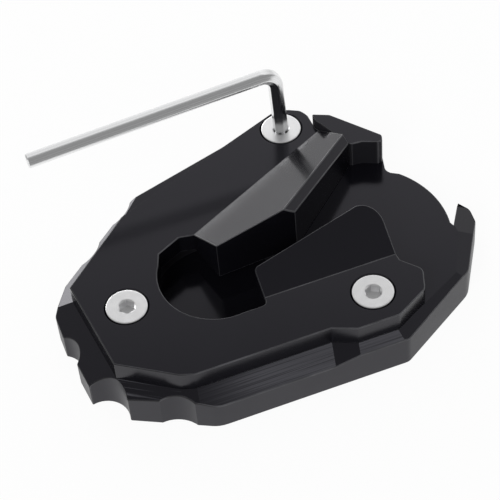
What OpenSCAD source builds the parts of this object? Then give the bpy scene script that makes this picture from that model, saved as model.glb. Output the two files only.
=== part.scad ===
// Foot enlarger for a motorbike side stand.
// A milled base plate, a clamp plate screwed down on it, and the key for its screws.
// X runs along the front edge, Y away from it, Z up. The origin is on the ground, under the middle.

/* [Base plate] */
// Length of the base plate, along X
base_l = 123.6; // [118:0.2:130]
// Width of the base plate, along Y
base_w = 91; // [88:1:98]
// Thickness of the base plate
base_t = 12.4; // [11:0.2:15]
// Angle of the sloping edge below the horizontal
edge_slope = 26.5; // [20:0.5:32]
// Radius of the corner at the front left
front_left_r = 9; // [4:0.5:12]
// Radius of the corner at the front right
front_right_r = 3; // [1:0.5:6]
// Radius of the corner at the right
right_r = 7; // [2:0.5:8]
// Radius of the rounded floor edge behind the leg
rear_arc_r = 27.1; // [26:0.1:28]
// Radius of the outer corner at the tip of the hook
hook_r = 2.2; // [1.2:0.1:2.6]
// Radius of the inner corner at the tip of the hook
hook_inner_r = 1; // [0.6:0.1:1.2]
// Radius of the inner corner where the rounded floor edge meets the block
arc_end_r = 2.5; // [1:0.1:3]

/* [Scallops] */
// Radius of the scallop in the left side
scallop_left_r = 6.3; // [5:0.1:8]
// Radius of the scallop in the left corner
scallop_corner_r = 6.9; // [5.5:0.1:7.5]
// Radius of the scallop in the front left side
scallop_front_r = 8.9; // [7:0.1:10]
// Radius of the two shallow scallops in the rear left side
scallop_rear_r = 9; // [7:0.5:12]
// Depth of the two shallow scallops
scallop_rear_depth = 1.2; // [0.6:0.1:2]

/* [Rear block] */
// Height of the block behind the leg, above the floor of the base plate
block_h = 9.4; // [8:0.2:11]

/* [Clamp plate] */
// Thickness of the clamp plate
plate_t = 6.6; // [5.5:0.2:8]
// Width of the sloping edge in front of the clamp plate
edge_front = 6.1; // [5:0.1:7]
// Step forward of the clamp plate at the front screw
front_step = 3; // [2:0.1:3.5]
// Radius of the corners round the front screw
clamp_r = 2.4; // [1:0.1:3]
// Radius of the corners of the lug round the rear screw
lug_r = 3; // [1:0.1:4]
// Gap between the clamp plate and the rear block
plate_gap = 0.2; // [0.1:0.05:0.5]

/* [Guide ridges] */
// Angle of the ridge faces above the horizontal
ridge_slope = 30; // [24:1:34]
// Width of the bevel along the high end of the far ridge
bevel_w = 2.1; // [1.4:0.1:2.6]
// Fall of that bevel
bevel_fall = 2.5; // [1.5:0.1:3.5]
// Radius of the high corner of the near ridge
ridge_corner_r = 6; // [3:0.5:8]

/* [Foot pocket] */
// Radius of the round end of the pocket
pocket_r = 16.5; // [15:0.1:17]
// Depth of the pocket below the clamp plate
pocket_depth = 5.4; // [3:0.2:7]
// Radius of the corners of the opening beside the near ridge
opening_r = 1.5; // [0.6:0.1:1.8]
// Undercut of the pocket below the clamp plate
pocket_undercut = 2; // [1:0.2:3]

/* [Screws] */
// Diameter of the thread
screw_d = 6; // [5:0.5:6.5]
// Diameter of the countersunk head
head_d = 12; // [11:0.2:12.6]
// Length of the screw with its head
screw_l = 16; // [12:1:18]
// Straight rim of the head, above the cone
head_rim = 0.6; // [0.3:0.1:1]
// Width across the flats of the socket
socket_af = 4.1; // [4.06:0.01:4.3]
// Depth of the socket
socket_depth = 2.8; // [2:0.1:3]
// Clearance round the thread and under the head
screw_clear = 0.05; // [0.02:0.01:0.1]
// Clearance of the hole in the clamp plate round the thread
hole_clear = 0.3; // [0.2:0.05:0.5]

/* [Key] */
// Width across the flats of the key
key_af = 4; // [3.8:0.01:4]
// Length of the long arm, from the axis of the short one
key_long = 75; // [60:1:80]
// Height of the long arm's axis above the end of the short one
key_short = 26.6; // [20:0.2:30]
// Radius of the bend, at the axis of the bar
key_bend_r = 6; // [4:0.5:9]
// Turn of the long arm, seen from above
key_turn = 181.2; // [150:0.2:200]

/* [Hidden] */
$fn = 96;
far = 200;

left_x = -base_l / 2;
right_x = base_l / 2;
front_y = -base_w / 2;
rear_y = base_w / 2;
top_z = base_t + plate_t;

// Centre of the foot pocket
pocket = [-16.2, -8.5];

// Corners of the base plate, from the front left one round to the right
c_front_left = [left_x + 32, front_y];
c_front_right = [right_x - 35.3, front_y];
c_right = [right_x - 10.7, front_y + 15];
c_rim = [right_x - 0.5, front_y + 32.4];
c_tip_out = [right_x, front_y + 38.9];
c_tip_in = [right_x - 3.5, front_y + 38.9];
c_notch = [right_x - 8.1, front_y + 31.2];
arc_centre = [right_x - 35.2, front_y + 37.6];
c_arc_end = [right_x - 18.1, front_y + 57.4];
c_block_end = [right_x - 16.6, front_y + 63.6];
c_rear_right = [right_x - 36.5, rear_y];
c_rear = [right_x - 40.6, rear_y];
c_rear_left = [left_x + 33.1, rear_y - 13.6];
c_left_rear = [left_x + 5.8, front_y + 56.2];
c_left_a = [left_x, front_y + 46.8];
c_left_b = [left_x, front_y + 38.5];
c_left_front = [left_x + 1.8, front_y + 20.5];
c_nose = [left_x + 10, front_y + 11.5];

// Outer corners of the clamp plate, which the sloping edge starts from
p_front_left = [left_x + 28.5, front_y + edge_front];
p_bevel = [left_x + 24.5, front_y + edge_front + 1.4];
p_left_front = [left_x + 9.3, front_y + 17.8];
p_left_rear = [left_x + 5.9, front_y + 47.7];
p_rear_left = [left_x + 27, rear_y - 24.7];
p_lug_a = [right_x - 42.5, rear_y - 4.1];
p_lug_b = [right_x - 37.6, rear_y - 4.6];
p_lug_c = [right_x - 34.2, rear_y - 6.5];
p_lug_d = [right_x - 32.9, rear_y - 9.1];
p_lug_e = [right_x - 32.7, rear_y - 14.5];
p_step_a = [6, front_y + edge_front];
p_step_b = [12.7, front_y + edge_front - front_step];
p_front_right = [right_x - 36.7, front_y + edge_front - front_step];
p_right_front = [right_x - 26.9, front_y + 8.6];
p_right = [right_x - 24.6, front_y + 15.3];
p_mouth = [right_x - 29.3, front_y + 20.7];

// Creases of the sloping edge that leave the clamp plate's outline
f_rear_left = [left_x + 35.6, rear_y - 12.4];
f_right = [right_x - 14.5, front_y + 15.1];
f_hook = [right_x - 8, front_y + 28.5];

// Corner of the opening to the left of the far ridge
opening_corner = pocket + [-5.6, 15.7];

// Straight front edge of the opening, from the pocket to the near ridge
opening_y = pocket[1] - pocket_r + 0.15;

// Depth that both ridges reach into the clamp plate behind their foot lines
ridge_root = 1;

// Far ridge: foot line from k to e, then its high corners
far_k = [pocket[0] - 1.5, pocket[1] + 15];
far_e = [right_x - 31.9, rear_y - 16];
far_d = [right_x - 28.4, rear_y - 25.6];
far_c = [8.2, -2.5];
far_b = [pocket[0] + 1.6, pocket[1] + 2.8];

// Near ridge: foot line along X, then its high corners
near_y = -22.6;
near_left_x = -7.1;
near_right_x = right_x - 29.5;
near_foot = [near_left_x, near_y];
near_a = [near_left_x, -14.9];
near_b = [near_right_x - ridge_corner_r - 0.3, -8.3];

// Rear block corners
block_a = [p_lug_e[0] + plate_gap, rear_y - 11.5];
block_b = [right_x - 27.7, rear_y - 13.8];
block_end = [right_x - 17.4, front_y + 61.4];
block_c = [right_x - 19, front_y + 61.4];
block_d = [right_x - 23.1, front_y + 63.4];

// Screw places
at_left = [left_x + 18.6, front_y + 35.1];
at_front = [right_x - 40.5, front_y + 13.3];
at_rear = [right_x - 42, rear_y - 10.8];

function unit(v) = v / norm(v);
function flat_normal(p, q) = let (u = unit(q - p)) [u[1], -u[0]];
function turned(v, a) = [v[0] * cos(a) - v[1] * sin(a), v[0] * sin(a) + v[1] * cos(a)];

// Points of a corner c between p and n, rounded to the radius r
function rounded(p, c, n, r) = let (
        half = acos(unit(p - c) * unit(n - c)) / 2,
        middle = c + unit(unit(p - c) + unit(n - c)) * r / sin(half),
        start = c + unit(p - c) * r / tan(half) - middle,
        sweep = sign(cross(c - p, n - c)) * (180 - 2 * half),
        steps = max(2, ceil(abs(sweep) / 9))
    ) [for (i = [0:steps]) middle + turned(start, sweep * i / steps)];

function up(p, z) = [p[0], p[1], z];

// Everything above the plane through p with the upward normal n
module above(p, n) {
    translate(p)
        rotate(a = acos(unit(n)[2]), v = cross([0, 0, 1], n))
            translate([-far, -far, 0]) cube([2 * far, 2 * far, far]);
}

// The cut that makes the sloping edge outside the line from p to q
module slope_cut(p, q) {
    n = flat_normal(p, q);
    above(up(p, base_t), [n[0] * sin(edge_slope), n[1] * sin(edge_slope), cos(edge_slope)]);
}

module scallop(p, r) {
    translate(p) circle(r);
}

// A shallow scallop on the line from p to q, its middle at the distance s from p
module shallow_scallop(p, q, s) {
    scallop(p + unit(q - p) * s + flat_normal(p, q) * (scallop_rear_r - scallop_rear_depth), scallop_rear_r);
}

module base_outline() {
    difference() {
        polygon(concat(
            rounded(c_nose, c_front_left, c_front_right, front_left_r),
            rounded(c_front_left, c_front_right, c_right, front_right_r),
            rounded(c_front_right, c_right, c_rim, right_r),
            [c_rim],
            rounded(c_rim, c_tip_out, c_tip_in, hook_r),
            rounded(c_tip_out, c_tip_in, c_notch, hook_inner_r),
            [c_notch],
            [for (i = [0:17]) arc_centre + rear_arc_r * [cos(3 * i - 11), sin(3 * i - 11)]],
            rounded(arc_centre + rear_arc_r * [cos(40), sin(40)], c_arc_end, c_block_end, arc_end_r),
            [c_block_end, c_rear_right, c_rear, c_rear_left, c_left_rear, c_left_a, c_left_b, c_left_front, c_nose]
        ));
        scallop([left_x - 3.3, front_y + 33.9], scallop_left_r);
        scallop([left_x + 3.4, front_y + 13.8], scallop_corner_r);
        scallop([left_x + 18.8, front_y - 1.5], scallop_front_r);
        shallow_scallop(c_rear_left, c_left_rear, 21.6);
        shallow_scallop(c_rear_left, c_left_rear, 5.6);
    }
}

module rear_block() {
    linear_extrude(base_t + block_h)
        polygon([
            block_a, p_lug_e + [plate_gap, 0], far_e + [plate_gap, 0],
            far_d + flat_normal(far_c, far_d) * bevel_w + [plate_gap, 0],
            block_d, block_c, block_end, c_block_end, block_b
        ]);
}

module base_plate() {
    color([0.13, 0.13, 0.14]) difference() {
        union() {
            difference() {
                linear_extrude(base_t) base_outline();
                slope_cut(p_bevel, p_front_left);
                slope_cut(p_left_front, p_bevel);
                slope_cut(p_left_rear, p_left_front);
                slope_cut(f_rear_left, p_left_rear);
                slope_cut(p_right_front, f_right);
                slope_cut(f_right, f_hook);
                slope_cut(f_hook, f_hook + [0, 10]);
                intersection() {
                    slope_cut(p_front_left, p_step_a);
                    union() {
                        slope_cut(p_step_a, p_step_b);
                        slope_cut(p_step_b, p_front_right);
                        slope_cut(p_front_right, p_right_front);
                    }
                }
            }
            rear_block();
        }
        translate(up(pocket, base_t - pocket_depth)) cylinder(h = pocket_depth + 1, r = pocket_r + pocket_undercut);
        for (p = [at_left, at_front, at_rear])
            translate(up(p, -1)) cylinder(h = base_t + 2, d = screw_d + 2 * screw_clear);
    }
}

module far_footprint() {
    bevel_out = flat_normal(far_c, far_d) * bevel_w;
    polygon([
        far_b, far_c + bevel_out, far_d + bevel_out, far_e,
        far_e + [-ridge_root, ridge_root], far_k + unit(far_k - far_b) * ridge_root
    ]);
}

module near_footprint() {
    corner = [near_right_x, near_b[1]];
    below = [near_right_x, near_y - ridge_root];
    polygon(concat(
        [near_foot - [0, ridge_root], below],
        rounded(below, corner, near_b, ridge_corner_r),
        [near_b],
        rounded(near_b, near_a, near_foot, opening_r)
    ));
}

module clamp_outline() {
    mouth = [near_right_x, near_y];
    difference() {
        polygon(concat(
            [p_front_left, p_step_a, p_step_b],
            rounded(p_step_b, p_front_right, p_right_front, clamp_r),
            rounded(p_front_right, p_right_front, p_right, clamp_r),
            rounded(p_right_front, p_right, p_mouth, clamp_r),
            [p_mouth, mouth, far_e, p_lug_e],
            rounded(p_lug_e, p_lug_d, p_lug_c, lug_r),
            rounded(p_lug_d, p_lug_c, p_lug_b, lug_r),
            rounded(p_lug_c, p_lug_b, p_lug_a, lug_r),
            [p_lug_a, p_rear_left, p_left_rear, p_left_front, p_bevel]
        ));
        difference() {
            translate(pocket) circle(pocket_r);
            polygon([opening_corner, far_b, far_e, opening_corner + [0, pocket_r / 4]]);
        }
        polygon(concat(
            [
                pocket + [-14.9, 6.6], pocket + [-12.8, 12.2], opening_corner,
                far_k + [1.5, -0.4], far_e, far_e + [10, 0],
                [near_right_x + 10, near_y], near_foot
            ],
            rounded(near_foot, [near_left_x, opening_y], [pocket[0], opening_y], opening_r),
            [[pocket[0], opening_y], pocket]
        ));
    }
}

// A ridge on its footprint, rising to the left of the line from p to q
module ridge(p, q) {
    n = flat_normal(p, q);
    difference() {
        translate([0, 0, base_t]) linear_extrude(plate_t + far / 8) children();
        above(up(p, top_z), [n[0] * sin(ridge_slope), n[1] * sin(ridge_slope), cos(ridge_slope)]);
    }
}

module clamp_plate() {
    rise = tan(ridge_slope);
    c_high = up(far_c, top_z + rise * abs((far_c - far_k) * flat_normal(far_e, far_k)));
    d_high = up(far_d, top_z + rise * abs((far_d - far_k) * flat_normal(far_e, far_k)));
    bevel_out = flat_normal(far_c, far_d) * bevel_w;
    color([0.12, 0.12, 0.13]) difference() {
        union() {
            translate([0, 0, base_t]) linear_extrude(plate_t) clamp_outline();
            ridge(near_foot, [near_right_x, near_y]) near_footprint();
            difference() {
                ridge(far_e, far_k) far_footprint();
                above(c_high, cross(d_high - c_high, up(-bevel_out, bevel_fall)));
            }
        }
        for (p = [at_left, at_front, at_rear]) {
            translate(up(p, base_t - 1)) cylinder(h = plate_t + 2, d = screw_d + 2 * hole_clear);
            translate(up(p, top_z - head_rim)) cylinder(h = head_rim + 1, d = head_d + 2 * screw_clear);
            translate(up(p, top_z - head_rim - head_d / 2))
                cylinder(h = head_d / 2, r1 = screw_clear, r2 = head_d / 2 + screw_clear);
        }
    }
}

// A countersunk screw with a hexagon socket, its flat head at the plate's top surface
module screw(p, turn) {
    translate(up(p, top_z)) rotate(turn) color("silver") difference() {
        union() {
            translate([0, 0, -head_rim]) cylinder(h = head_rim, d = head_d);
            translate([0, 0, -head_rim - (head_d - screw_d) / 2])
                cylinder(h = (head_d - screw_d) / 2, d1 = screw_d, d2 = head_d);
            translate([0, 0, -screw_l]) cylinder(h = screw_l - head_rim, d = screw_d);
        }
        translate([0, 0, -socket_depth]) cylinder(h = socket_depth + 1, d = socket_af / cos(30), $fn = 6);
    }
}

module screw_left() {
    screw(at_left, 17);
}

module screw_front() {
    screw(at_front, 24);
}

module screw_rear() {
    screw(at_rear, key_turn);
}

// The bar's hexagonal section, with a flat facing the bend
module key_section() {
    rotate(30) circle(d = key_af / cos(30), $fn = 6);
}

// The key stands in the rear screw and leans as far as the socket's play lets it
module hex_key() {
    lean = atan((socket_af - key_af) / socket_depth);
    corner_drop = key_af / cos(30) / 2 * sin(lean);
    translate(up(at_rear, top_z - socket_depth / 2)) rotate(key_turn) rotate([0, lean, 0])
        translate([0, 0, corner_drop + screw_clear / 2 - socket_depth / 2]) color([0.82, 0.83, 0.85]) union() {
            linear_extrude(key_short - key_bend_r) rotate(90) key_section();
            translate([key_bend_r, 0, key_short - key_bend_r]) rotate([90, 0, 0]) rotate([0, 0, 90])
                rotate_extrude(angle = 90) translate([key_bend_r, 0]) key_section();
            translate([key_bend_r, 0, key_short]) rotate([0, 90, 0]) linear_extrude(key_long - key_bend_r)
                key_section();
        }
}

base_plate();
clamp_plate();
screw_left();
screw_front();
screw_rear();
hex_key();
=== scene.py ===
"""Foot enlarger for a motorbike side stand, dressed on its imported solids."""
import math

import bmesh
import bpy
import numpy as np
from bpy.props import FloatProperty, FloatVectorProperty, IntProperty, PointerProperty
from mathutils import Matrix, Vector


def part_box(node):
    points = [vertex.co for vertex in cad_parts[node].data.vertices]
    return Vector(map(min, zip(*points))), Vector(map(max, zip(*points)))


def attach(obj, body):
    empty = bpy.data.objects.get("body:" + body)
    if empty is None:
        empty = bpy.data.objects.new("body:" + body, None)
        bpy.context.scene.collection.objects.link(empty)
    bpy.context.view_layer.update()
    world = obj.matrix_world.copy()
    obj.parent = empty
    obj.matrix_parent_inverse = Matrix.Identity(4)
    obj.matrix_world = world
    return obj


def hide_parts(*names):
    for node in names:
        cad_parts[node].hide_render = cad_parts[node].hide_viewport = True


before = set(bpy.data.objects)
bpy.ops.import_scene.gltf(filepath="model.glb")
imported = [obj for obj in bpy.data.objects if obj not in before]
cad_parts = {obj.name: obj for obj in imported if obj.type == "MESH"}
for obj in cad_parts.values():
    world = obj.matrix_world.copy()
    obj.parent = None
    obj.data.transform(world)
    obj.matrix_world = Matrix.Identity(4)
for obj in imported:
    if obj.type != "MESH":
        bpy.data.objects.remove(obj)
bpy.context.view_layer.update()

bl_info = {
    "name": "Side stand foot enlarger",
    "version": (1, 0, 0),
    "blender": (4, 5, 0),
    "location": "View3D > Sidebar > Foot enlarger",
    "description": "Milled foot pad with clamp plate, countersunk screws and hex key",
    "category": "Object",
}

MM = 0.001
SCREW_NODES = ("screw_left", "screw_front", "screw_rear")

# Vertices of a plate nearer to each other than this are merged before its edges are broken
MERGE_GAP = 0.12 * MM
# How far from a folded place the roundings are narrowed
CROWD_REACH = 1.2 * MM
# A wall narrower than this gets no wide rounding at its upright corners
NARROW_WALL = 1.1 * MM
# Faces that turn less than this lie in one plane
SAME_PLANE = math.radians(0.6)
# Edges that turn more than these are drawn crisp, beside a slope and between walls
SLOPE_CREASE = math.radians(3)
WALL_CREASE = math.radians(22)
# Edges that turn more than this are broken
BROKEN_TURN = math.radians(35)


class PlateSettings(bpy.types.PropertyGroup):
    """Sizes and colours of the two black plates."""

    edge_break: FloatProperty(name="Edge break", description="Width of the broken edges of both plates",
                              default=0.32 * MM, min=0.05 * MM, max=1.0 * MM,
                              unit="LENGTH", precision=5)
    cusp: FloatProperty(name="Cusp rounding",
                        description="Width of the rounding of the base plate's upright outside corners",
                        default=0.9 * MM, min=0.1 * MM, max=1.5 * MM, unit="LENGTH", precision=5)
    edge_steps: IntProperty(name="Edge steps", description="Faces across each broken edge",
                            default=3, min=1, max=4)
    hole_flare: FloatProperty(name="Hole flare", description="Extra radius at the top of the screws' holes",
                              default=0.35 * MM, min=0.0, max=1.0 * MM, unit="LENGTH", precision=5)
    black: FloatVectorProperty(name="Anodised black", description="Colour of the black anodised surface",
                               default=(0.0042, 0.0041, 0.0058), min=0.0, max=1.0, subtype="COLOR")
    # Painted highlight: this pale colour on the broken edges stands in for the light that they catch,
    # besides their rubbed oxide
    edge_wear_and_highlight: FloatVectorProperty(name="Worn edge and painted highlight",
                              description="Colour of the thinner oxide on the broken edges",
                              default=(0.075, 0.075, 0.082), min=0.0, max=1.0, subtype="COLOR")
    # The milled grey is partly the cutter's marks and partly painted sheen: it paints the lines on the
    # front slope paler and lifts the base plate's upright walls
    milled_grey_and_sheen: FloatVectorProperty(name="Milled grey",
                                description="Colour of the cutter's fine lines in the black",
                                default=(0.074, 0.074, 0.083), min=0.0, max=1.0, subtype="COLOR")
    gloss: FloatProperty(name="Roughness", description="Roughness of the flat anodised faces",
                         default=0.15, min=0.05, max=0.8, subtype="FACTOR")
    wall_gloss: FloatProperty(name="Wall roughness",
                              description="Roughness of the base plate's upright walls",
                              default=0.4, min=0.05, max=0.8, subtype="FACTOR")
    refraction: FloatProperty(name="Oxide index", description="Refractive index of the sealed oxide layer",
                              default=1.42, min=1.3, max=2.4)
    line_height: FloatProperty(name="Line height",
                               description="Height of one of the cutter's lines on the slopes",
                               default=0.15 * MM, min=0.05 * MM, max=1.0 * MM,
                               unit="LENGTH", precision=5)


class ScrewSettings(bpy.types.PropertyGroup):
    """Sizes and colours of the countersunk screws."""

    head: FloatProperty(name="Head", description="Diameter of the countersunk head",
                        default=11.7 * MM, unit="LENGTH", precision=5)
    rim: FloatProperty(name="Rim", description="Height of the head's straight rim",
                       default=0.6 * MM, unit="LENGTH", precision=5)
    thread: FloatProperty(name="Thread", description="Outer diameter of the thread",
                          default=6.0 * MM, unit="LENGTH", precision=5)
    pitch: FloatProperty(name="Pitch", description="Pitch of the thread",
                         default=1.0 * MM, unit="LENGTH", precision=5)
    length: FloatProperty(name="Length", description="Length of the screw with its head",
                          default=16.0 * MM, unit="LENGTH", precision=5)
    socket: FloatProperty(name="Socket", description="Width of the socket across its flats",
                          default=4.1 * MM, unit="LENGTH", precision=5)
    depth: FloatProperty(name="Socket depth", description="Depth of the socket",
                         default=2.8 * MM, unit="LENGTH", precision=5)
    steel: FloatVectorProperty(name="Screw steel", description="Colour of the turned steel",
                               default=(0.86, 0.86, 0.865), min=0.0, max=1.0, subtype="COLOR")
    gloss: FloatProperty(name="Roughness", description="Roughness of the turned steel",
                         default=0.34, min=0.05, max=0.8, subtype="FACTOR")


class KeySettings(bpy.types.PropertyGroup):
    """Sizes and colours of the hex key."""

    flats: FloatProperty(name="Flats", description="Width of the bar across its flats",
                         default=4.0 * MM, unit="LENGTH", precision=5)
    long_arm: FloatProperty(name="Long arm", description="Length of the long arm from the short one's axis",
                            default=75.0 * MM, unit="LENGTH", precision=5)
    short_arm: FloatProperty(name="Short arm",
                             description="Height of the long arm's axis above the short end",
                             default=26.5 * MM, unit="LENGTH", precision=5)
    bend: FloatProperty(name="Bend", description="Radius of the bend at the bar's axis",
                        default=4.4 * MM, unit="LENGTH", precision=5)
    turn: FloatProperty(name="Turn", description="Direction of the long arm, seen from above",
                        default=math.radians(181.2), subtype="ANGLE")
    corner: FloatProperty(name="Corner", description="Radius of the bar's long corners",
                          default=0.3 * MM, unit="LENGTH", precision=5)
    steel: FloatVectorProperty(name="Key steel", description="Colour of the plated steel",
                               default=(0.78, 0.785, 0.79), min=0.0, max=1.0, subtype="COLOR")
    gloss: FloatProperty(name="Roughness", description="Roughness of the plated steel",
                         default=0.22, min=0.05, max=0.8, subtype="FACTOR")


class StageSettings(bpy.types.PropertyGroup):
    """Floor, light and camera."""

    floor: FloatVectorProperty(name="Floor", description="Colour of the floor",
                               default=(0.92, 0.92, 0.92), min=0.0, max=1.0, subtype="COLOR")
    low_strip: FloatProperty(name="Low strip", description="Brightness of the low soft box behind the pad",
                             default=4.6, min=0.0, max=20.0)
    fill: FloatProperty(name="Fill", description="Strength of the soft light from beside the camera",
                        default=1.6, min=0.0, max=10.0)
    focal: FloatProperty(name="Focal length", description="Focal length of the camera on a 36 mm sensor",
                         default=136.8, min=20.0, max=300.0)


def grid_mesh(name, rows, uv):
    """Makes a mesh from rows of closed rings.

    rows is an array (rings, points, 3). Point (i, j) joins (i, j + 1) and (i + 1, j), and j wraps round.
    The first and the last ring are closed by one face each. uv has one pair for each point.
    """
    rings, points = rows.shape[:2]
    i = np.arange(rings - 1)[:, None] * points
    j = np.arange(points)[None, :]
    k = (j + 1) % points
    quads = np.stack([i + j, i + k, i + points + k, i + points + j], axis=-1).reshape(-1, 4)
    faces = [tuple(q) for q in quads.tolist()]
    faces.append(tuple(range(points - 1, -1, -1)))
    faces.append(tuple(range((rings - 1) * points, rings * points)))
    mesh = bpy.data.meshes.new(name)
    mesh.from_pydata(rows.reshape(-1, 3).tolist(), [], faces)
    mesh.update()
    layer = mesh.uv_layers.new(name="run")
    at = np.zeros(len(mesh.loops), dtype=np.int64)
    mesh.loops.foreach_get("vertex_index", at)
    layer.data.foreach_set("uv", uv.reshape(-1, 2)[at].astype(np.float32).ravel())
    return mesh


def smooth_with_edges(mesh, angle):
    """Shades a mesh smooth, with every edge sharper than the angle kept crisp."""
    mesh.polygons.foreach_set("use_smooth", np.ones(len(mesh.polygons), dtype=bool))
    mesh.set_sharp_from_angle(angle=angle)
    mesh.update()


def outward(mesh):
    """Turns every face of a closed mesh outwards."""
    bm = bmesh.new()
    bm.from_mesh(mesh)
    bmesh.ops.remove_doubles(bm, verts=bm.verts, dist=1e-7)
    bmesh.ops.recalc_face_normals(bm, faces=bm.faces)
    bm.to_mesh(mesh)
    bm.free()


def hexagon(angle, flats):
    """Distance from the middle to the side of a hexagon: half its flats over the cosine of the angle,
    with the angle taken from the nearest flat's middle."""
    return flats / 2 / np.cos((angle + math.pi / 6) % (math.pi / 3) - math.pi / 6)


def screw_surface(s, points=144):
    """A socket screw as one surface of revolution, from the socket's floor out to the tip.

    Every ring has a height z and a radius r. Inside the socket r is a hexagon's, which blends into a
    circle over the socket's small countersink. On the thread r is the outer radius less a wave of
    z over the pitch minus the angle over a full turn, so that the ridge climbs as a helix.
    """
    angle = np.linspace(0, 2 * math.pi, points, endpoint=False)
    inner = hexagon(angle + math.pi / 6, s.socket)
    flat = s.socket / math.sqrt(3)
    rings, heights = [], []

    def ring(radius, height):
        rings.append(radius + np.zeros(points))
        heights.append(height + np.zeros(points))

    ring(0.02 * MM, -s.depth - 0.45 * MM)
    ring(s.socket * 0.42, -s.depth + 0.02 * MM)
    ring(inner * 0.985, -s.depth + 0.03 * MM)
    ring(inner, -s.depth + 0.1 * MM)
    ring(inner, -0.32 * MM)
    ring(np.maximum(inner, flat * 0.97), -0.2 * MM)
    ring(flat * 1.07, -0.03 * MM)
    ring(flat * 1.09, 0.0)
    for r in np.linspace(flat * 1.12, s.head / 2 - 0.24 * MM, 12):
        ring(r, 0.0)
    ring(s.head / 2 - 0.14 * MM, -0.02 * MM)
    ring(s.head / 2 - 0.04 * MM, -0.09 * MM)
    ring(s.head / 2, -0.2 * MM)
    ring(s.head / 2, -s.rim)
    cone = (s.head - s.thread) / 2
    ring(s.thread / 2 + 0.02 * MM, -s.rim - cone)
    start, end = -s.rim - cone - 0.3 * MM, -s.length + 0.8 * MM
    for z in np.linspace(start, end, 90):
        wave = np.abs((z / s.pitch - angle / (2 * math.pi)) % 1.0 - 0.5) * 2
        fade = min(1.0, (start - z) / (0.8 * s.pitch), (z - end) / (0.8 * s.pitch) + 0.4)
        ring(s.thread / 2 - 0.02 * MM - 0.5 * s.pitch * fade * wave, z)
    ring(s.thread / 2 - 0.75 * MM, -s.length)
    ring(0.02 * MM, -s.length)
    radius, height = np.array(rings), np.array(heights)
    rows = np.stack([radius * np.cos(angle), radius * np.sin(angle), height], axis=-1)
    run = np.concatenate([[0.0], np.cumsum(np.linalg.norm(np.diff(rows[:, 0], axis=0), axis=1))]) / MM
    uv = np.stack([np.broadcast_to(angle / (2 * math.pi), radius.shape),
                   np.broadcast_to(run[:, None], radius.shape)], axis=-1)
    return rows, uv


def key_surface(k, points_per_side=8):
    """A hexagonal bar carried along an L-shaped path.

    The section's distance from its middle is a hexagon's, cut off smoothly at the corners by the
    circle through them less the corner's rounding. The path runs up the short arm, round a quarter
    circle, and out along the long arm, and at each end the section shrinks over a small chamfer.
    """
    count = 6 * points_per_side
    angle = np.arange(count) * 2 * math.pi / count
    side = hexagon(angle, k.flats)
    limit = k.flats / math.sqrt(3) - k.corner * (2 / math.sqrt(3) - 1)
    side = -np.log(np.exp(-side / (0.05 * MM)) + np.exp(-limit / (0.05 * MM))) * 0.05 * MM
    section = np.stack([side * np.cos(angle), side * np.sin(angle)], axis=-1)
    chamfer = 0.35 * MM
    up, bend, out = k.short_arm, k.bend, k.long_arm
    stations = [(0.0, 0.0, 0.0, 0.0), (0.0, 0.0, 0.0, 0.82), (0.0, chamfer, 0.0, 1.0)]
    stations += [(0.0, z, 0.0, 1.0) for z in np.linspace(chamfer, up - bend, 8)[1:]]
    stations += [(bend - bend * math.cos(t), up - bend + bend * math.sin(t), t, 1.0)
                 for t in np.linspace(0, math.pi / 2, 25)[1:]]
    stations += [(x, up, math.pi / 2, 1.0) for x in np.linspace(bend, out - chamfer, 16)[1:]]
    stations += [(out, up, math.pi / 2, 0.82), (out, up, math.pi / 2, 0.0)]
    path = np.array(stations)
    px, pz, tilt, scale = path.T
    scale = np.maximum(scale, 0.01)
    across = np.stack([np.cos(tilt), np.zeros_like(tilt), -np.sin(tilt)], axis=-1)
    side_way = np.array([0.0, 1.0, 0.0])
    centre = np.stack([px, np.zeros_like(px), pz], axis=-1)
    rows = (centre[:, None, :] + scale[:, None, None] * (section[None, :, 0:1] * across[:, None, :]
            + section[None, :, 1:2] * side_way))
    run = np.concatenate([[0.0], np.cumsum(np.linalg.norm(np.diff(centre, axis=0), axis=1))]) / MM
    uv = np.stack([np.broadcast_to(np.arange(count) / count, (len(path), count)),
                   np.broadcast_to(run[:, None], (len(path), count))], axis=-1)
    return rows, uv


def piece(name, mesh, body, node, material):
    """Puts a finished mesh into the scene in place of a solid."""
    mesh.materials.append(material)
    obj = bpy.data.objects.new(name, mesh)
    bpy.context.scene.collection.objects.link(obj)
    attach(obj, body)
    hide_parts(node)
    return obj


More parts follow.
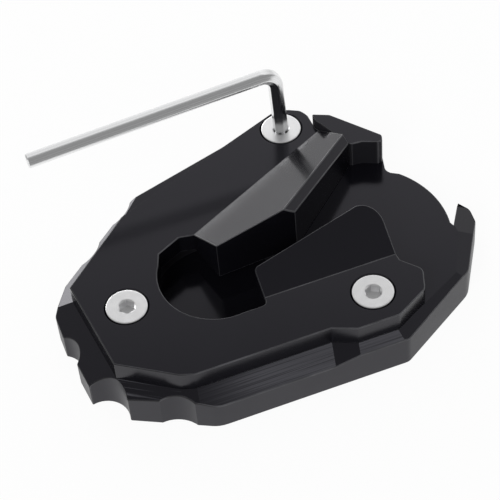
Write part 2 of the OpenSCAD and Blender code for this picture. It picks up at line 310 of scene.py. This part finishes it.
class Nodes:
    """A node tree, emptied, with short calls for its nodes and links."""

    def __init__(self, owner):
        self.owner = owner
        owner.use_nodes = True
        self.tree = owner.node_tree
        self.tree.nodes.clear()

    def add(self, kind, **values):
        node = self.tree.nodes.new(kind)
        for key, value in values.items():
            setattr(node, key, value)
        return node

    def link(self, a, b):
        self.tree.links.new(a, b)

    def math(self, operation, a, b=None, c=None):
        node = self.add("ShaderNodeMath", operation=operation)
        for socket, value in zip(node.inputs, (a, b, c)):
            if value is None:
                continue
            if isinstance(value, (int, float)):
                socket.default_value = value
            else:
                self.link(value, socket)
        return node.outputs[0]

    def ramp(self, value, low, high, at_low=0.0, at_high=1.0):
        """A smooth step from one value to another between low and high."""
        node = self.add("ShaderNodeMapRange", interpolation_type="SMOOTHSTEP")
        for socket, number in zip(node.inputs[1:5], (low, high, at_low, at_high)):
            socket.default_value = number
        self.link(value, node.inputs[0])
        return node.outputs[0]

    def split(self, value):
        """The three parts of a vector."""
        node = self.add("ShaderNodeSeparateXYZ")
        self.link(value, node.inputs[0])
        return node.outputs

    def noise(self, value, scale, detail=2.0, dimensions="3D"):
        """Noise from 0 to 1 at a vector, or at one number."""
        node = self.add("ShaderNodeTexNoise", noise_dimensions=dimensions)
        node.inputs["Scale"].default_value = scale
        node.inputs["Detail"].default_value = detail
        self.link(value, node.inputs["W" if dimensions == "1D" else "Vector"])
        return node.outputs[0]

    def blend(self, factor, a, b):
        """Mixes two colours, each a list of values or a socket."""
        node = self.add("ShaderNodeMix", data_type="RGBA")
        sockets = [x for x in node.inputs if x.enabled]
        for socket, value in zip(sockets, (factor, a, b)):
            if hasattr(value, "is_linked"):
                self.link(value, socket)
            else:
                socket.default_value = list(value)[:3] + [1.0]
        return [x for x in node.outputs if x.enabled][0]


def tint(colour, share):
    """A colour made lighter or darker by a share."""
    return [min(1.0, c * share) for c in colour]


def anodised(name, settings, stepped):
    """Black anodised aluminium: a dark sealed oxide, glossy on the flat faces and duller on the walls.

    On the sloping edge in front, the cutter left fine level lines. They are noise that is drawn out
    along the slope and short in height, and show as a small tilt of the surface and as grey lines, which
    are painted sheen too: paler where the slope faces the front, fainter toward its left end, and only
    sparse where the slope faces left. The base plate's upright walls are painted a little paler as sheen.
    """
    n = Nodes(bpy.data.materials.new(name))
    out = n.add("ShaderNodeOutputMaterial")
    shader = n.add("ShaderNodeBsdfPrincipled")
    n.link(shader.outputs[0], out.inputs[0])
    shader.inputs["IOR"].default_value = settings.refraction
    shader.inputs["Specular Tint"].default_value = (0.91, 0.89, 1.0, 1.0)
    where = n.add("ShaderNodeTexCoord")
    cloud = n.noise(where.outputs["Object"], 55.0, 3.0)
    facing = n.split(where.outputs["Normal"])
    place = n.split(where.outputs["Object"])
    upright = n.ramp(n.math("ABSOLUTE", facing["Z"]), 0.35, 0.7, 1.0, 0.0)

    colour = n.blend(cloud, tint(settings.black, 0.9), tint(settings.black, 1.12))
    # Painted sheen: the base plate's upright walls are lifted a little toward the milled grey, standing in
    # for the bright floor that they reflect
    colour = n.blend(n.math("MULTIPLY", upright, 0.13 if stepped else 0.0), colour, settings.milled_grey_and_sheen)
    wall = settings.wall_gloss if stepped else settings.gloss * 1.4
    rough = n.math("MULTIPLY", n.ramp(upright, 0.0, 1.0, settings.gloss, wall),
                   n.ramp(cloud, 0.2, 0.8, 0.93, 1.1))

    drawn = n.add("ShaderNodeCombineXYZ")
    n.link(n.math("MULTIPLY", place["X"], 25.0), drawn.inputs["X"])
    n.link(n.math("MULTIPLY", place["Y"], 25.0), drawn.inputs["Y"])
    n.link(n.math("DIVIDE", place["Z"], settings.line_height), drawn.inputs["Z"])
    lines = n.noise(drawn.outputs[0], 1.0, 2.0)
    grain = n.noise(where.outputs["Object"], 5200.0)
    height = n.math("MULTIPLY", grain, 0.4)
    if stepped:
        slope = n.math("MULTIPLY", n.ramp(facing["Z"], 0.83, 0.88),
                       n.ramp(facing["Z"], 0.93, 0.97, 1.0, 0.0))
        slope = n.math("MULTIPLY", slope, n.ramp(facing["Y"], -0.36, -0.28, 1.0, 0.0))
        ahead = n.math("MULTIPLY", slope,
                       n.ramp(n.math("ABSOLUTE", facing["X"]), 0.06, 0.13, 1.0, 0.0))
        # Painted sheen: the cutter's lines are painted paler on the slope that faces the front, fainter
        # toward its left end, and only sparsely on the slope that faces left; the same fade to the left
        # also eases their tilt
        fainter_to_left = n.ramp(place["X"], -0.036, -0.012, 0.1, 1.0)
        pale_lines_and_sheen = n.math("MULTIPLY", n.math("MULTIPLY", ahead, fainter_to_left),
                     n.ramp(lines, 0.35, 0.65, 0.5, 1.08))
        beside = n.math("MULTIPLY", n.ramp(facing["X"], -0.23, -0.2, 1.0, 0.0), slope)
        sparse = n.math("MULTIPLY", beside, n.ramp(lines, 0.56, 0.68, 0.0, 0.8))
        pale_lines_and_sheen = n.math("MAXIMUM", pale_lines_and_sheen, sparse)
        colour = n.blend(pale_lines_and_sheen, colour, settings.milled_grey_and_sheen)
        rough = n.math("ADD", rough, n.math("MULTIPLY", pale_lines_and_sheen, 0.2))
        height = n.math("MULTIPLY_ADD", n.math("MAXIMUM", n.math("MULTIPLY", ahead, fainter_to_left),
                                               n.math("MULTIPLY", beside, 0.5)),
                        n.math("MULTIPLY", lines, 3.0), height)
    n.link(colour, shader.inputs["Base Color"])
    n.link(rough, shader.inputs["Roughness"])
    bump = n.add("ShaderNodeBump")
    bump.inputs["Strength"].default_value = 0.15
    bump.inputs["Distance"].default_value = 0.00004
    n.link(height, bump.inputs["Height"])
    n.link(bump.outputs[0], shader.inputs["Normal"])
    return n.owner


def worn_edge_with_highlight(settings):
    """The broken edges, where the oxide is thinner and rubbed, paler in some places than in others.
    Their pale colour is partly painted highlight, standing in for the light that the edges catch.
    """
    n = Nodes(bpy.data.materials.new("Worn edge and painted highlight"))
    out = n.add("ShaderNodeOutputMaterial")
    shader = n.add("ShaderNodeBsdfPrincipled")
    n.link(shader.outputs[0], out.inputs[0])
    shader.inputs["IOR"].default_value = settings.refraction
    where = n.add("ShaderNodeTexCoord")
    rubbed = n.ramp(n.noise(where.outputs["Object"], 140.0, 3.0), 0.35, 0.65, 0.6, 1.0)
    # Painted shade: edges that face left keep only a small share of the pale colour and stay nearly black,
    # while the others show it in full as painted highlight
    lit_side_share = n.ramp(n.split(where.outputs["Normal"])["X"], -0.32, -0.12, 0.15, 1.0)
    n.link(n.blend(n.math("MULTIPLY", rubbed, lit_side_share), settings.black, settings.edge_wear_and_highlight),
           shader.inputs["Base Color"])
    shader.inputs["Roughness"].default_value = 0.3
    return n.owner


def steel(name, colour, gloss, axis, scale, depth, share):
    """Bright steel with fine marks that follow the piece's own run.

    With axis Y the marks change along the run, as a lathe's rings do, and with X around it, as the
    lines of drawn bar do. share is how much of the change in colour and gloss comes from the marks,
    and the rest is cloudy.
    """
    n = Nodes(bpy.data.materials.new(name))
    out = n.add("ShaderNodeOutputMaterial")
    shader = n.add("ShaderNodeBsdfPrincipled")
    n.link(shader.outputs[0], out.inputs[0])
    shader.inputs["Metallic"].default_value = 1.0
    run = n.split(n.add("ShaderNodeUVMap", uv_map="run").outputs[0])
    marks = n.noise(run[axis], scale, 3.0, "1D")
    cloud = n.noise(n.add("ShaderNodeTexCoord").outputs["Object"], 420.0, 4.0)
    both = n.math("MULTIPLY_ADD", marks, share, n.math("MULTIPLY", cloud, 1.0 - share))
    n.link(n.blend(n.ramp(both, 0.35, 0.65), tint(colour, 0.93), tint(colour, 1.07)),
           shader.inputs["Base Color"])
    n.link(n.ramp(both, 0.2, 0.8, gloss * 0.85, gloss * 1.15), shader.inputs["Roughness"])
    bump = n.add("ShaderNodeBump")
    bump.inputs["Strength"].default_value = 0.35
    bump.inputs["Distance"].default_value = depth
    n.link(marks, bump.inputs["Height"])
    n.link(bump.outputs[0], shader.inputs["Normal"])
    return n.owner


def crossings(mesh):
    """Places where a face's outline crosses itself, worked out in the plane that the face looks along.

    Two edges cross where each one's ends lie on different sides of the other, by the sign of the area
    of the triangles that they make.
    """
    places = []
    points = np.empty(len(mesh.vertices) * 3)
    mesh.vertices.foreach_get("co", points)
    points = points.reshape(-1, 3)
    for face in mesh.polygons:
        if len(face.vertices) < 5:
            continue
        ring = points[list(face.vertices)]
        flat = np.delete(ring, int(np.argmax(np.abs(face.normal))), axis=1) / MM
        start, end = flat, np.roll(flat, -1, axis=0)
        along = end - start

        def side(target):
            away = target[None] - start[:, None]
            return along[:, None, 0] * away[..., 1] - along[:, None, 1] * away[..., 0]

        first = side(start) * side(end) < -1e-7
        for i, j in np.argwhere(first & first.T & np.triu(np.ones_like(first), 2)):
            places += [ring[i], ring[j], (ring[i] + ring[(i + 1) % len(ring)]) / 2,
                       (ring[j] + ring[(j + 1) % len(ring)]) / 2]
    return places


def ease_crowded(obj, reach, rounds=8):
    """Narrows the roundings near each place where they would fold a face over.

    It stops when none folds, or after the given number of rounds.
    """
    mesh = obj.data
    weights = mesh.attributes["bevel_weight_edge"].data
    ends = np.array([list(e.vertices) for e in mesh.edges])
    points = np.array([v.co[:] for v in mesh.vertices])
    for _ in range(rounds):
        bpy.context.view_layer.update()
        evaluated = obj.evaluated_get(bpy.context.evaluated_depsgraph_get())
        places = crossings(evaluated.to_mesh())
        evaluated.to_mesh_clear()
        if not places:
            return
        away = np.linalg.norm(points[:, None] - np.array(places)[None], axis=2).min(axis=1) < reach
        for index in np.flatnonzero(away[ends].any(axis=1)):
            weights[index].value *= 0.6
        mesh.update()


def cut_beside_holes(bm, holes):
    """Cuts a solid by an upright plane through each hole, then drops every other edge inside a flat face.

    With the cuts no flat face has a hole in it, so each is one plain outline.
    """
    cuts = []
    for centre in holes:
        near = np.array([v.co.x for v in bm.verts if abs(v.co.x - centre.x) < 4 * MM])
        places = np.linspace(centre.x - 2.5 * MM, centre.x + 2.5 * MM, 101)
        cuts.append(float(places[np.argmax(np.abs(places[:, None] - near[None]).min(axis=1))]))
    for x in cuts:
        bmesh.ops.bisect_plane(bm, geom=bm.verts[:] + bm.edges[:] + bm.faces[:], dist=1e-7,
                               plane_co=(x, 0.0, 0.0), plane_no=(1.0, 0.0, 0.0))
    drop = []
    for edge in bm.edges:
        on_cut = any(all(abs(v.co.x - x) < 1e-6 for v in edge.verts) for x in cuts)
        if len(edge.link_faces) == 2 and not on_cut and edge.calc_face_angle(0.0) < SAME_PLANE:
            drop.append(edge)
    bmesh.ops.dissolve_edges(bm, edges=drop, use_verts=True, use_face_split=False)


def broken_edges(node, name, settings):
    """A copy of a solid's mesh, its loose triangles merged into flat faces, with a weight for every edge.

    A sharp outer edge's weight is the share of the widest rounding that it gets. The base plate's upright
    corners between two walls get all of it, and other edges the width of a broken edge. The clamp plate's
    upright corners, and the foot of its ridges, get a part of that.
    """
    holes = []
    for screw in SCREW_NODES:
        low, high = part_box(screw)
        holes.append(Vector(((low.x + high.x) / 2, (low.y + high.y) / 2, high.z)))
    hole = (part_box(SCREW_NODES[0])[1].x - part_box(SCREW_NODES[0])[0].x) / 2 + 0.05 * MM
    bm = bmesh.new()
    bm.from_mesh(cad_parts[node].data)
    bmesh.ops.remove_doubles(bm, verts=bm.verts, dist=2e-6)
    cut_beside_holes(bm, holes)
    bmesh.ops.remove_doubles(bm, verts=bm.verts, dist=MERGE_GAP)
    rims = set()
    for centre in holes:
        for vert in bm.verts:
            away = vert.co.xy - centre.xy
            if abs(away.length - hole) < 0.03 * MM and abs(vert.co.z - centre.z) < 0.3 * MM:
                vert.co.xy = centre.xy + away * (1 + settings.hole_flare / hole)
                rims.add(vert)
    bm.normal_update()
    layer = bm.edges.layers.float.new("bevel_weight_edge")
    small = settings.edge_break / settings.cusp
    for edge in bm.edges:
        if len(edge.link_faces) != 2:
            continue
        turn = edge.calc_face_angle(0.0)
        upright = all(abs(face.normal.z) < 0.05 for face in edge.link_faces)
        wide = all(face.calc_area() / max(edge.calc_length(), 1e-6) > NARROW_WALL
                   for face in edge.link_faces)
        sloping = any(abs(face.normal.z) > 0.2 for face in edge.link_faces)
        edge.smooth = turn < (SLOPE_CREASE if sloping else WALL_CREASE)
        if edge.verts[0] in rims and edge.verts[1] in rims:
            continue
        ridge = any(face.normal.z > 0.8 and face.normal.y < -0.45 for face in edge.link_faces)
        foot = ridge and not edge.is_convex
        if foot and node == "clamp_plate" and turn > WALL_CREASE:
            edge[layer] = small * 0.5
        elif turn > BROKEN_TURN and edge.is_convex:
            edge[layer] = small * (0.4 if upright and node == "clamp_plate" else 1.0)
        if node == "base_plate" and upright and wide and edge.is_convex and turn > WALL_CREASE:
            edge[layer] = 1.0
    for face in bm.faces:
        face.smooth = True
        face.material_index = 0
    mesh = bpy.data.meshes.new(name)
    bm.to_mesh(mesh)
    bm.free()
    return mesh


class FOOTPAD_OT_plates(bpy.types.Operator):
    """Gives the base plate and the clamp plate broken edges and black anodised finishes"""
    bl_idname = "footpad.plates"
    bl_label = "Finish the plates"

    def execute(self, context):
        s = context.scene.footpad_plates
        edge = worn_edge_with_highlight(s)
        plates = (("base_plate", "base_black", True), ("clamp_plate", "clamp_black", False))
        for node, slot, stepped in plates:
            material = anodised("Anodised " + node.replace("_", " "), s, stepped)
            mesh = broken_edges(node, node + "_finished", s)
            obj = piece(node + "_finished", mesh, "root", node, material)
            mesh.materials.append(edge)
            bevel = obj.modifiers.new("Edge break", "BEVEL")
            bevel.width = s.cusp
            bevel.segments = s.edge_steps
            bevel.limit_method = "WEIGHT"
            bevel.use_clamp_overlap = False
            bevel.harden_normals = True
            bevel.material = 1
            ease_crowded(obj, CROWD_REACH)
        return {"FINISHED"}


class FOOTPAD_OT_screws(bpy.types.Operator):
    """Makes the countersunk screws"""
    bl_idname = "footpad.screws"
    bl_label = "Make the screws"

    def execute(self, context):
        s = context.scene.footpad_screws
        material = steel("Turned steel", s.steel, s.gloss, "Y", 9.0, 0.00003, 0.7)
        rows, uv = screw_surface(s)
        turns = {"screw_left": 17.0, "screw_front": 24.0,
                 "screw_rear": math.degrees(context.scene.footpad_key.turn)}
        for node, turn in turns.items():
            low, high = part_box(node)
            top = Vector(((low.x + high.x) / 2, (low.y + high.y) / 2, high.z))
            mesh = grid_mesh(node + "_turned", rows, uv)
            outward(mesh)
            mesh.transform(Matrix.Translation(top) @ Matrix.Rotation(math.radians(turn), 4, "Z"))
            smooth_with_edges(mesh, math.radians(28))
            piece(node + "_turned", mesh, "root", node, material)
        return {"FINISHED"}


class FOOTPAD_OT_key(bpy.types.Operator):
    """Makes the hex key that stands in the rear screw"""
    bl_idname = "footpad.key"
    bl_label = "Make the hex key"

    def execute(self, context):
        k = context.scene.footpad_key
        s = context.scene.footpad_screws
        material = steel("Plated key steel", k.steel, k.gloss, "X", 45.0, 0.00001, 0.95)
        rows, uv = key_surface(k)
        lean = math.atan((s.socket - k.flats) / s.depth)
        lift = k.flats / math.sqrt(3) * math.sin(lean) + 0.025 * MM
        low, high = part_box("screw_rear")
        foot = Vector(((low.x + high.x) / 2, (low.y + high.y) / 2, high.z - s.depth / 2))
        mesh = grid_mesh("hex_key_bar", rows, uv)
        outward(mesh)
        mesh.transform(Matrix.Translation(foot) @ Matrix.Rotation(k.turn, 4, "Z")
                       @ Matrix.Rotation(lean, 4, "Y")
                       @ Matrix.Translation((0.0, 0.0, lift - s.depth / 2)))
        smooth_with_edges(mesh, math.radians(35))
        piece("hex_key_bar", mesh, "root", "hex_key", material)
        return {"FINISHED"}


def area_lamp(name, place, target, size, radiance):
    """Adds a rectangular soft box of the given radiance.

    Its power is the radiance times its area times pi.
    """
    data = bpy.data.lights.new(name, "AREA")
    data.shape = "RECTANGLE"
    data.size, data.size_y = size
    data.energy = radiance * size[0] * size[1] * math.pi
    lamp = bpy.data.objects.new(name, data)
    bpy.context.scene.collection.objects.link(lamp)
    lamp.location = place
    lamp.rotation_euler = (Vector(target) - Vector(place)).to_track_quat("-Z", "Y").to_euler()


class FOOTPAD_OT_stage(bpy.types.Operator):
    """Makes the floor, the lights and the camera"""
    bl_idname = "footpad.stage"
    bl_label = "Set the stage"

    def floor_material(self, colour):
        """White paper, seen as bright as it is lit, and plain white in the part's reflections."""
        n = Nodes(bpy.data.materials.new("White paper"))
        out = n.add("ShaderNodeOutputMaterial")
        paper = n.add("ShaderNodeBsdfDiffuse")
        paper.inputs["Color"].default_value = list(colour) + [1.0]
        glow = n.add("ShaderNodeEmission")
        glow.inputs["Color"].default_value = (1.0, 1.0, 1.0, 1.0)
        glow.inputs["Strength"].default_value = 1.0
        ray = n.add("ShaderNodeLightPath")
        share = n.math("MAXIMUM", n.math("MULTIPLY", ray.outputs["Is Camera Ray"], 0.94),
                       n.math("MAXIMUM", ray.outputs["Is Glossy Ray"], ray.outputs["Is Transmission Ray"]))
        mix = n.add("ShaderNodeMixShader")
        n.link(share, mix.inputs[0])
        n.link(paper.outputs[0], mix.inputs[1])
        n.link(glow.outputs[0], mix.inputs[2])
        n.link(mix.outputs[0], out.inputs[0])
        return n.owner

    def sky(self):
        """A studio with a big soft box behind the part, dim in front and overhead.

        The camera sees plain white instead.
        """
        world = bpy.data.worlds.new("Studio")
        bpy.context.scene.world = world
        n = Nodes(world)
        out = n.add("ShaderNodeOutputWorld")
        way = n.split(n.add("ShaderNodeTexCoord").outputs["Generated"])
        across = n.add("ShaderNodeValToRGB")
        stops = [(-1.0, 0.34), (-0.68, 0.34), (-0.56, 0.52), (-0.3, 0.9), (0.0, 1.0), (0.3, 1.12),
                 (0.55, 0.98), (0.8, 0.72), (1.0, 0.8)]
        elements = across.color_ramp.elements
        while len(elements) < len(stops):
            elements.new(0.5)
        for element, (x, light) in zip(elements, stops):
            element.position = (x + 1) / 2
            element.color = [light] * 3 + [1.0]
        n.link(n.math("MULTIPLY_ADD", way["X"], 0.5, 0.5), across.inputs["Fac"])
        behind = n.ramp(way["Y"], -0.7, 0.2)
        below = n.ramp(way["Z"], 0.735, 0.85, 1.0, 0.0)
        dim = (0.33, 0.33, 0.33)
        glow = n.blend(n.math("MULTIPLY", behind, below), dim, across.outputs[0])
        studio = n.add("ShaderNodeBackground")
        n.link(glow, studio.inputs["Color"])
        white = n.add("ShaderNodeBackground")
        white.inputs["Color"].default_value = (1.0, 1.0, 1.0, 1.0)
        mix = n.add("ShaderNodeMixShader")
        n.link(n.add("ShaderNodeLightPath").outputs["Is Camera Ray"], mix.inputs[0])
        n.link(studio.outputs[0], mix.inputs[1])
        n.link(white.outputs[0], mix.inputs[2])
        n.link(mix.outputs[0], out.inputs[0])

    def camera(self, focal):
        """The photograph's view: 51 degrees down, 16 degrees round, rolled 5.6 degrees."""
        target = Vector((-4.8, -5.1, 19.0)) * MM
        place = target + Vector((-92.9, -323.7, 415.0)) * MM
        forward = (target - place).normalized()
        right = forward.cross(Vector((0.0, 0.0, 1.0))).normalized()
        up = right.cross(forward)
        roll = math.radians(-5.639)
        right, up = (right * math.cos(roll) + up * math.sin(roll),
                     up * math.cos(roll) - right * math.sin(roll))
        data = bpy.data.cameras.new("Camera")
        data.sensor_width = 36.0
        data.lens = focal
        data.clip_start = 0.01
        cam = bpy.data.objects.new("Camera", data)
        bpy.context.scene.collection.objects.link(cam)
        turn = Matrix((right, up, -forward)).transposed()
        cam.matrix_world = Matrix.Translation(place) @ turn.to_4x4()
        bpy.context.scene.camera = cam

    def execute(self, context):
        s = context.scene.footpad_stage
        bpy.context.scene.view_settings.view_transform = "Standard"
        mesh = bpy.data.meshes.new("floor")
        half = 3.0
        mesh.from_pydata([(-half, -half, 0.0), (half, -half, 0.0), (half, half, 0.0), (-half, half, 0.0)],
                         [], [(0, 1, 2, 3)])
        mesh.materials.append(self.floor_material(s.floor))
        floor = bpy.data.objects.new("floor", mesh)
        bpy.context.scene.collection.objects.link(floor)
        self.sky()
        area_lamp("Low strip", (-0.13, 0.95, 0.22), (0.0, 0.0, 0.02), (1.1, 0.24), s.low_strip)
        data = bpy.data.lights.new("Fill", "SUN")
        data.energy = s.fill
        data.angle = math.radians(30)
        fill = bpy.data.objects.new("Fill", data)
        bpy.context.scene.collection.objects.link(fill)
        fill.visible_glossy = False
        fill.rotation_euler = Vector((0.55, 0.62, -0.62)).to_track_quat("-Z", "Y").to_euler()
        self.camera(s.focal)
        return {"FINISHED"}


class FOOTPAD_PT_panel(bpy.types.Panel):
    """Lists the foot enlarger's steps and sizes"""
    bl_idname = "FOOTPAD_PT_panel"
    bl_label = "Foot enlarger"
    bl_space_type = "VIEW_3D"
    bl_region_type = "UI"
    bl_category = "Foot enlarger"

    def draw(self, context):
        scene = context.scene
        for label, group, operator in (
                ("Plates", scene.footpad_plates, "footpad.plates"),
                ("Screws", scene.footpad_screws, "footpad.screws"),
                ("Hex key", scene.footpad_key, "footpad.key"),
                ("Stage", scene.footpad_stage, "footpad.stage")):
            box = self.layout.box()
            box.label(text=label)
            for name in group.bl_rna.properties.keys():
                if name not in ("rna_type", "name"):
                    box.prop(group, name)
            box.operator(operator)


CLASSES = (PlateSettings, ScrewSettings, KeySettings, StageSettings,
           FOOTPAD_OT_plates, FOOTPAD_OT_screws, FOOTPAD_OT_key, FOOTPAD_OT_stage, FOOTPAD_PT_panel)


def register():
    for cls in CLASSES:
        bpy.utils.register_class(cls)
    bpy.types.Scene.footpad_plates = PointerProperty(type=PlateSettings)
    bpy.types.Scene.footpad_screws = PointerProperty(type=ScrewSettings)
    bpy.types.Scene.footpad_key = PointerProperty(type=KeySettings)
    bpy.types.Scene.footpad_stage = PointerProperty(type=StageSettings)


def unregister():
    del bpy.types.Scene.footpad_stage
    del bpy.types.Scene.footpad_key
    del bpy.types.Scene.footpad_screws
    del bpy.types.Scene.footpad_plates
    for cls in reversed(CLASSES):
        bpy.utils.unregister_class(cls)


def main():
    register()
    bpy.ops.footpad.plates()
    bpy.ops.footpad.screws()
    bpy.ops.footpad.key()
    bpy.ops.footpad.stage()
    bpy.context.view_layer.update()


if __name__ == "__main__":
    main()
